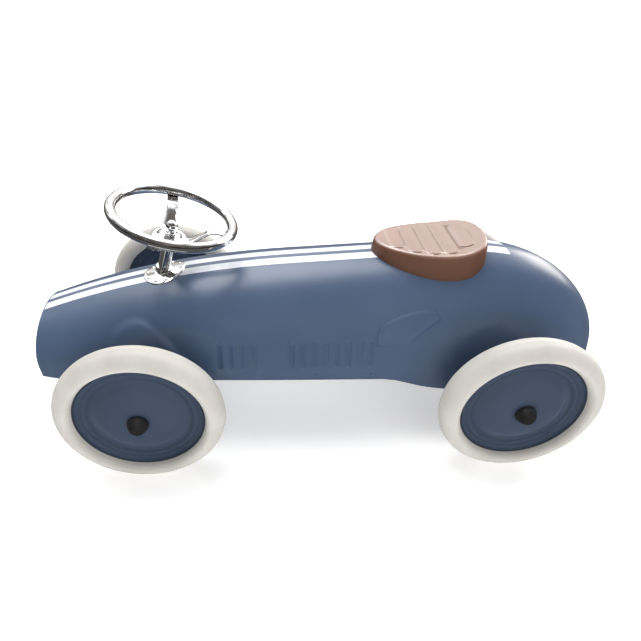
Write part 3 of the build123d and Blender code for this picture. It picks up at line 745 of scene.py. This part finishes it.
def build_seat():
    """Moulded saddle: ribbed top, rounded rim, leaning wall and a foot on the body."""
    segments = SEAT_SEGMENTS
    turn = np.linspace(0, 2 * math.pi, segments, endpoint=False)
    rings = []
    painted_shade = []
    top_shrink = SEAT_RIM + SEAT_WALL_LEAN
    edge_x, edge_y = seat_outline(turn, top_shrink)
    for share in np.linspace(0.01, 1, 92) ** 0.85:
        x = SEAT_CENTRE_X + (edge_x - SEAT_CENTRE_X) * share
        y = edge_y * share
        dish = SEAT_DISH * (1 - share**2.4)
        ribs = rib_height(x, y)
        z = seat_rim_height(x) - dish + ribs
        rings.append((x, y, z))
        # Painted shade in the valleys between the ribs; the rim, wall and foot rings below get painted shade too.
        valley_shade = np.clip(1 - ribs / RIB_LIFT, 0, 1) * (1 - smooth_step(share, 0.72, 0.86)) * 0.35
        painted_shade.append(valley_shade)
    for bend in np.linspace(0, math.pi / 2, 9)[1:]:
        x, y = seat_outline(turn, top_shrink - SEAT_RIM * math.sin(bend))
        rings.append((x, y, seat_rim_height(x) - SEAT_RIM * (1 - math.cos(bend))))
        painted_shade.append(np.full(segments, 0.55 * smooth_step(bend, 0.35, 1.45)))
    rim_x, _ = seat_outline(turn, SEAT_WALL_LEAN)
    rim_z = seat_rim_height(rim_x) - SEAT_RIM
    for share in np.linspace(0, 1, 14)[1:]:
        x, y = seat_outline(turn, SEAT_WALL_LEAN * (1 - share**0.7))
        foot = crown_side(x, y) + SEAT_FOOT_GAP
        rings.append((x, y, rim_z + (foot - rim_z) * share))
        painted_shade.append(np.full(segments, 0.55 + 0.15 * share**3))
    for shrink in (3.0, 14.0, 30.0, 44.0):
        x, y = seat_outline(turn, shrink * MM)
        rings.append((x, y, crown_side(x, y) + SEAT_FOOT_GAP))
        painted_shade.append(np.full(segments, 0.3))
    points = [(x[k], y[k], z[k]) for x, y, z in rings for k in range(segments)]
    faces = grid_faces(len(rings), segments, False, True)
    for ring in (0, len(rings) - 1):
        faces.append([ring * segments + k for k in range(segments)])
    seat = new_piece("seat_pad", points, faces, "chassis", "seat_plastic", ["seat"], 60)
    face_outwards(seat)
    mark_points(seat, "seat_painted_shade", np.concatenate(painted_shade))


# ------------------------------------------------------------------ wheels
TYRE_LINE = ((75.8, 9.0), (78.2, 14.0), (83.0, 17.0), (90.8, 14.7), (97.0, 8.5), (99.3, 0.0))
TYRE_LIP = ((70.5, 3.2), (75.4, 4.6), (75.7, 6.8))
MOULD_SEAM = ((99.25, 0.55), (99.3, 0.4), (99.3, -0.4), (99.25, -0.55))
DISC_LINE = ((8, 14.7), (13, 14.6), (26, 13.6), (44, 9.5), (54, 5.4), (58, 4.1), (60.5, 4.0),
             (62.5, 5.0), (64.5, 5.1), (67, 4.4), (70, 5.2), (72.4, 6.9), (73.6, 8.7), (74.7, 9.3),
             (75.7, 8.9))
DISC_SHEET = 1.1
CAP_LINE = ((0.0, 15.4), (12.4, 15.4), (12.3, 16.6), (11.5, 19.6), (8.6, 25.0), (4.5, 28.2),
            (0, 29.1))


def tyre_profile():
    """Half round tread with a thin mould seam, and lips that hold the discs."""
    half = list(TYRE_LIP) + smooth_line(TYRE_LINE, 7)[:-1]
    other = [(r, -h) for r, h in reversed(half)]
    return [(r * MM, h * MM) for r, h in half + list(MOULD_SEAM) + other]


def disc_profile():
    """Pressed dish with its rolled rim, as a closed outline."""
    outer = smooth_line(DISC_LINE, 6)
    inner = [(min(r, 75.2), h - DISC_SHEET) for r, h in reversed(outer)]
    return [(r * MM, h * MM) for r, h in outer + inner]


def wheel_frame(name):
    """Frame at the wheel's centre; its Z points out of the car."""
    low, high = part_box(f"{name}_tyre")
    outward = 1 if name.endswith("right") else -1
    return axis_frame((low + high) / 2, (0, outward, 0))


def build_wheel(name):
    """Tyre, two pressed discs and the axle cap of one wheel."""
    place = wheel_frame(name)
    body = f"{name}_wheel"
    inward = place @ Matrix.Rotation(math.pi, 4, "X")
    lathe_piece(f"{name}_tyre_ring", tyre_profile(), place, 144, body, "tyre_rubber",
                [f"{name}_tyre"], 35)
    for side, disc_frame in (("outer", place), ("inner", inward)):
        dish = lathe_piece(f"{name}_{side}_dish", disc_profile(), disc_frame, 120, body, "wheel_paint",
                           [f"{name}_{side}_disc"], 40)
        paint_recess_shade(dish, disc_frame)
    cap = [(r * MM, h * MM) for r, h in CAP_LINE[:2] + tuple(smooth_line(CAP_LINE[1:], 6))[1:]]
    lathe_piece(f"{name}_axle_cap", cap, place, 48, body, "cap_plastic", [f"{name}_hub_cap"], 50)


def ring_mark(radius, middle, width):
    """Soft ring on a disc: 1 at its middle radius, fading over its width."""
    return math.exp(-(((radius - middle) / width) ** 2))


def paint_recess_shade(dish, place):
    """Marks painted shade on the grooves, the rim and the foot of the cap, where the paint is darkened to stand
    for the shade in these recesses.
    """
    back = place.inverted()
    values = []
    for vertex in dish.data.vertices:
        local = back @ vertex.co
        radius = math.hypot(local.x, local.y)
        # Painted shade: the grooves, the rim and the cap foot are darkened as if in shade.
        grooves = ring_mark(radius, 60.0 * MM, 3.0 * MM) + ring_mark(radius, 67.6 * MM, 1.6 * MM)
        rim = float(smooth_step(radius, 73.0 * MM, 73.7 * MM))
        cap_foot = ring_mark(radius, 12.0 * MM, 2.5 * MM)
        values.append(min(1.0, 0.4 * grooves + rim + 0.5 * cap_foot))
    mark_points(dish, "painted_recess_shade", values)


# ------------------------------------------------------------------ steering wheel
STEER = next(j for j in frame["joints"] if j["name"] == "steering_turn")
STEER_FRAME = axis_frame(STEER["pos_m"], STEER["axis"])
RIM_RADIUS = 73.4 * MM
RIM_TUBE = 6.49 * MM
SPOKE_TURNS = (0.0, 98.0, -98.0)
SPOKE_SHEET = 1.8 * MM
SPOKE_LINE = ((15, -29), (22, -29), (26, -27.8), (38, -16.6), (43, -12.3), (48, -9.5), (54, -7.9),
              (60, -7.45), (76, -7.45))
HUB_PLATE = ((5.2, -28.0), (9.5, -28.0), (10.6, -27.4), (12.0, -27.2), (13.4, -27.6), (14.6, -28.2),
             (17.8, -28.2), (18.8, -27.5), (20.2, -27.2), (21.6, -27.7), (22.7, -28.6),
             (22.9, -29.3), (22.4, -29.9), (5.2, -29.9))
NUT_BASE = -26.5
NUT_BALL = 7.3
NUT_FOOT = ((5.0, 0.0), (8.4, 0.0), (8.6, 0.5), (8.6, 3.6), (8.1, 4.4), (6.9, 4.9), (6.7, 6.4),
            (7.2, 7.0), (7.3, 8.0))


def build_rim():
    """Chromed tube ring."""
    turns = np.linspace(0, 2 * math.pi, 181)[:-1]
    ring = [Vector((math.cos(t), math.sin(t), 0)) * RIM_RADIUS for t in turns]
    points, faces = sweep([STEER_FRAME @ p for p in ring], RIM_TUBE, 32)
    rim = new_piece("steering_rim_tube", points, faces, "steering", "chrome", ["steering_rim"])
    face_outwards(rim)


def spoke_grid():
    """One pressed strap: flared root, bend, and a tab under the rim."""
    line = np.array(smooth_line(SPOKE_LINE, 8)) * MM
    across = np.linspace(-1, 1, 15)
    top = []
    for r, h in line:
        flare = 1 - smooth_step(r, 20 * MM, 40 * MM)
        half = (7.0 + 5.2 * flare) * MM
        between = smooth_step(r, 17 * MM, 26 * MM) * (1 - smooth_step(r, 42 * MM, 50 * MM))
        turned_edge = 2.4 * MM * between
        for t in across:
            drop = turned_edge * smooth_step(abs(t), 0.62, 1.0)
            top.append((r, t * half, h + SPOKE_SHEET / 2 - drop))
    return top, len(line), len(across)


def build_spider():
    """Hub plate with pressed rings, and three strap spokes in one piece."""
    points, faces = lathe([(r * MM, h * MM) for r, h in HUB_PLATE], 96)
    points = [STEER_FRAME @ p for p in points]
    top, rows, columns = spoke_grid()
    for turn in SPOKE_TURNS:
        place = STEER_FRAME @ Matrix.Rotation(math.radians(turn), 4, "Z")
        first = len(points)
        points += [place @ Vector(p) for p in top]
        points += [place @ Vector((x, y, z - SPOKE_SHEET)) for x, y, z in top]
        under = first + len(top)
        faces += grid_faces(rows, columns, first=first)
        faces += [face[::-1] for face in grid_faces(rows, columns, first=under)]
        edge = [r * columns for r in range(rows)]
        edge += [(rows - 1) * columns + c for c in range(1, columns)]
        edge += [r * columns + columns - 1 for r in range(rows - 2, -1, -1)]
        edge += list(range(columns - 2, 0, -1))
        for a, b in zip(edge, edge[1:] + edge[:1]):
            faces.append([first + a, first + b, under + b, under + a])
    spider = new_piece("steering_spoke_plate", points, faces, "steering", "chrome", ["steering_spider"], 35)
    face_outwards(spider)


def build_nut():
    """Domed nut: wide foot, narrow waist and a ball top."""
    foot = [(r, NUT_BASE + h) for r, h in NUT_FOOT]
    ball_z = NUT_BASE + 12.6
    turns = np.linspace(-0.55, math.pi / 2, 16)
    ball = [(NUT_BALL * math.cos(t), ball_z + NUT_BALL * math.sin(t)) for t in turns]
    profile = [(r * MM, h * MM) for r, h in foot + ball + [(0, NUT_BASE)]]
    lathe_piece("steering_dome_nut", profile, STEER_FRAME, 64, "steering", "chrome", ["dome_nut"], 45)


# ------------------------------------------------------------------ column flange
FLANGE_LOW, FLANGE_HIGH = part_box("column_flange")
FLANGE_X = (FLANGE_LOW.x + FLANGE_HIGH.x) / 2
FLANGE_RADIUS = (FLANGE_HIGH.x - FLANGE_LOW.x) / 2


def build_flange():
    """Pressed plate that follows the crown, with a soft outer edge and a raised neck."""
    segments = 120
    edge = FLANGE_RADIUS / MM
    rings = [(8.2, 5.0), (8.4, 3.4), (9.4, 2.2), (11.0, 1.6), (14.0, 1.45), (18.0, 1.4), (22.0, 1.4),
             (edge - 0.9, 1.4), (edge - 0.3, 1.2), (edge, 0.7), (edge, 0.1), (8.2, 0.1)]
    points = []
    for radius, lift in rings:
        for k in range(segments):
            turn = 2 * math.pi * k / segments
            x = FLANGE_X + radius * MM * math.cos(turn)
            y = radius * MM * math.sin(turn)
            points.append((x, y, float(crown_side(x, y)) + lift * MM))
    faces = grid_faces(len(rings), segments, True, True)
    flange = new_piece("column_flange_plate", points, faces, "chassis", "chrome", ["column_flange"], 40)
    face_outwards(flange)


# ------------------------------------------------------------------ studio
BRIGHT_SIDE = (0.0, 0.85, 0.53)
SKY_STOPS = ((0.0, (0.15, 0.14, 0.13)), (0.52, (0.16, 0.15, 0.14)), (0.64, (0.28, 0.28, 0.28)),
             (0.75, (1.15, 1.18, 1.22)), (0.88, (2.0, 2.02, 2.05)), (1.0, (2.3, 2.3, 2.3)))
HORIZON_STOPS = ((0.0, (0.12, 0.10, 0.08)), (0.10, (0.20, 0.18, 0.16)),
                 (0.26, (0.50, 0.49, 0.48)), (0.42, 1.0))
PATCH_STOPS = ((0.38, (0.22, 0.20, 0.18)), (0.47, (0.80, 0.80, 0.80)), (0.60, (1.1, 1.1, 1.1)))
FLOOR_REACH = 14.0
CURTAIN_RADIUS = 13.0
CURTAIN_FOOT = -0.1
CURTAIN_TOP = 20.0
CAMERA_LENS = 28.48
CAMERA_SHIFT = (0.0424, -0.0535)
CAMERA_PLACE = (-0.0854, -0.5703, 0.5520)
CAMERA_YAW = math.radians(3.412)
CAMERA_PITCH = math.radians(33.089)
CAMERA_ROLL = math.radians(-1.090)


def hide_from(piece, *kinds):
    """Keeps a stage piece out of some kinds of light path."""
    for kind in kinds:
        setattr(piece, f"visible_{kind}", False)


def add_stage_piece(piece):
    """Puts a piece in the scene as part of the studio."""
    bpy.context.scene.collection.objects.link(piece)


def build_stage():
    """Pale floor; a darker one below it is what the glossy surfaces mirror."""
    corners = [(-1, -1), (1, -1), (1, 1), (-1, 1)]
    points = [(FLOOR_REACH * x, FLOOR_REACH * y, 0) for x, y in corners]
    floor_mesh = bpy.data.meshes.new("floor")
    floor_mesh.from_pydata(points, [], [(0, 1, 2, 3)])
    floor = bpy.data.objects.new("floor", floor_mesh)
    s = Shader("studio_floor")
    s.colour(s.ramp(s.noise(0.6, 2.0), (0.3, 0.86), (0.7, 0.90)))
    s.put(Roughness=0.9, Specular_IOR_Level=0.1, Emission_Color=(1, 1, 1, 1), Emission_Strength=0.42)
    floor_mesh.materials.append(s.material)
    hide_from(floor, "glossy", "shadow")
    card = bpy.data.objects.new("mirror_card", floor_mesh.copy())
    card.location.z = -0.002
    dark = Shader("mirror_card_grey")
    dark.colour(dark.ramp(dark.noise(0.8, 2.0), (0.3, 0.05), (0.7, 0.09)))
    dark.put(Roughness=0.9, Specular_IOR_Level=0.1)
    card.data.materials.clear()
    card.data.materials.append(dark.material)
    hide_from(card, "camera", "diffuse", "shadow")
    add_stage_piece(floor)
    add_stage_piece(card)


def build_backdrop():
    """Pale curtain far behind the floor; it neither lights nor mirrors the car."""
    ring = 64
    turns = [2 * math.pi * k / ring for k in range(ring)]
    points = [(CURTAIN_RADIUS * math.cos(turn), CURTAIN_RADIUS * math.sin(turn), z)
              for z in (CURTAIN_FOOT, CURTAIN_TOP) for turn in turns]
    mesh = bpy.data.meshes.new("backdrop")
    mesh.from_pydata(points, [], grid_faces(2, ring, False, True))
    curtain = bpy.data.objects.new("backdrop", mesh)
    s = Shader("backdrop_cloth")
    s.feed(s.ramp(s.noise(0.3, 2.0), (0.3, 0.94), (0.7, 1.0)), s.out.inputs["Emission Color"])
    s.put(Base_Color=(0, 0, 0, 1), Emission_Strength=1.05, Specular_IOR_Level=0.0)
    mesh.materials.append(s.material)
    hide_from(curtain, "diffuse", "glossy", "shadow", "transmission")
    add_stage_piece(curtain)


def world_ramp(tree, source, stops):
    """Colour ramp in the world's node tree."""
    node = tree.nodes.new("ShaderNodeValToRGB")
    fill_ramp(node, stops)
    tree.links.new(source, node.inputs["Fac"])
    return node.outputs["Color"]


def build_world():
    """Studio dome: bright behind and above the car, dim in front, uneven near the horizon.

    Sockets 6 and 7 of a mix node are its colours.
    """
    world = bpy.data.worlds.new("studio")
    world.use_nodes = True
    tree = world.node_tree
    place = tree.nodes.new("ShaderNodeTexCoord").outputs["Generated"]
    facing = tree.nodes.new("ShaderNodeVectorMath")
    facing.operation = "DOT_PRODUCT"
    facing.inputs[1].default_value = Vector(BRIGHT_SIDE).normalized()
    tree.links.new(place, facing.inputs[0])
    share = tree.nodes.new("ShaderNodeMapRange")
    share.inputs["From Min"].default_value = -1.0
    tree.links.new(facing.outputs["Value"], share.inputs["Value"])
    split = tree.nodes.new("ShaderNodeSeparateXYZ")
    tree.links.new(place, split.inputs["Vector"])
    clutter = tree.nodes.new("ShaderNodeTexNoise")
    clutter.inputs["Scale"].default_value = 3.6
    clutter.inputs["Detail"].default_value = 5.0
    tree.links.new(place, clutter.inputs["Vector"])
    light = world_ramp(tree, share.outputs["Result"], SKY_STOPS)
    for source, stops in ((split.outputs["Z"], HORIZON_STOPS), (clutter.outputs["Fac"], PATCH_STOPS)):
        mix = tree.nodes.new("ShaderNodeMix")
        mix.data_type = "RGBA"
        mix.blend_type = "MULTIPLY"
        mix.inputs[0].default_value = 1.0
        tree.links.new(light, mix.inputs[6])
        tree.links.new(world_ramp(tree, source, stops), mix.inputs[7])
        light = mix.outputs[2]
    tree.links.new(light, tree.nodes["Background"].inputs["Color"])
    bpy.context.scene.world = world


def add_sun(name, aim, spread, power, in_mirrors):
    """Very soft sun-like light; the fill light is kept out of the mirrors."""
    data = bpy.data.lights.new(name, "SUN")
    data.angle = math.radians(spread)
    data.energy = power
    lamp = bpy.data.objects.new(name, data)
    lamp.rotation_euler = Vector(aim).to_track_quat("Z", "Y").to_euler()
    lamp.visible_glossy = in_mirrors
    bpy.context.scene.collection.objects.link(lamp)


def add_softbox(place, aim, size, power, colour):
    """Square soft box that points at the car."""
    data = bpy.data.lights.new("tail_softbox", "AREA")
    data.size = size
    data.energy = power
    data.color = colour
    lamp = bpy.data.objects.new("tail_softbox", data)
    lamp.location = place
    lamp.rotation_euler = (Vector(place) - Vector(aim)).to_track_quat("Z", "Y").to_euler()
    bpy.context.scene.collection.objects.link(lamp)


def build_camera():
    """Eye of the picture: above the driver's left side, looking down at the car."""
    data = bpy.data.cameras.new("camera")
    data.sensor_width = 36.0
    data.lens = CAMERA_LENS
    data.shift_x, data.shift_y = CAMERA_SHIFT
    camera = bpy.data.objects.new("camera", data)
    level_ahead = Vector((math.sin(CAMERA_YAW), math.cos(CAMERA_YAW), 0)) * math.cos(CAMERA_PITCH)
    ahead = level_ahead - Vector((0, 0, math.sin(CAMERA_PITCH)))
    level = Vector((math.cos(CAMERA_YAW), -math.sin(CAMERA_YAW), 0))
    down = ahead.cross(level)
    right = math.cos(CAMERA_ROLL) * level + math.sin(CAMERA_ROLL) * down
    up = math.sin(CAMERA_ROLL) * level - math.cos(CAMERA_ROLL) * down
    place = Matrix((right, up, -ahead)).transposed().to_4x4()
    place.translation = Vector(CAMERA_PLACE)
    camera.matrix_world = place
    bpy.context.scene.collection.objects.link(camera)
    bpy.context.scene.camera = camera


# ------------------------------------------------------------------ the picture
dress_cad_nodes()
build_body()
build_seat()
for wheel in WHEELS:
    build_wheel(wheel)
build_rim()
build_spider()
build_nut()
build_flange()
build_stage()
build_backdrop()
build_world()
add_sun("soft_key", (-0.15, 0.30, 0.94), 42.0, 1.7, True)
add_sun("low_fill", (0.25, -0.88, 0.40), 60.0, 1.45, False)
add_sun("floor_bounce", (0.10, -0.38, -0.92), 60.0, 0.8, False)
add_softbox((2.0, 1.15, 0.85), (0.25, 0, 0.2), 1.1, 24, (1.0, 0.93, 0.85))
build_camera()
bpy.context.scene.view_settings.view_transform = "Standard"
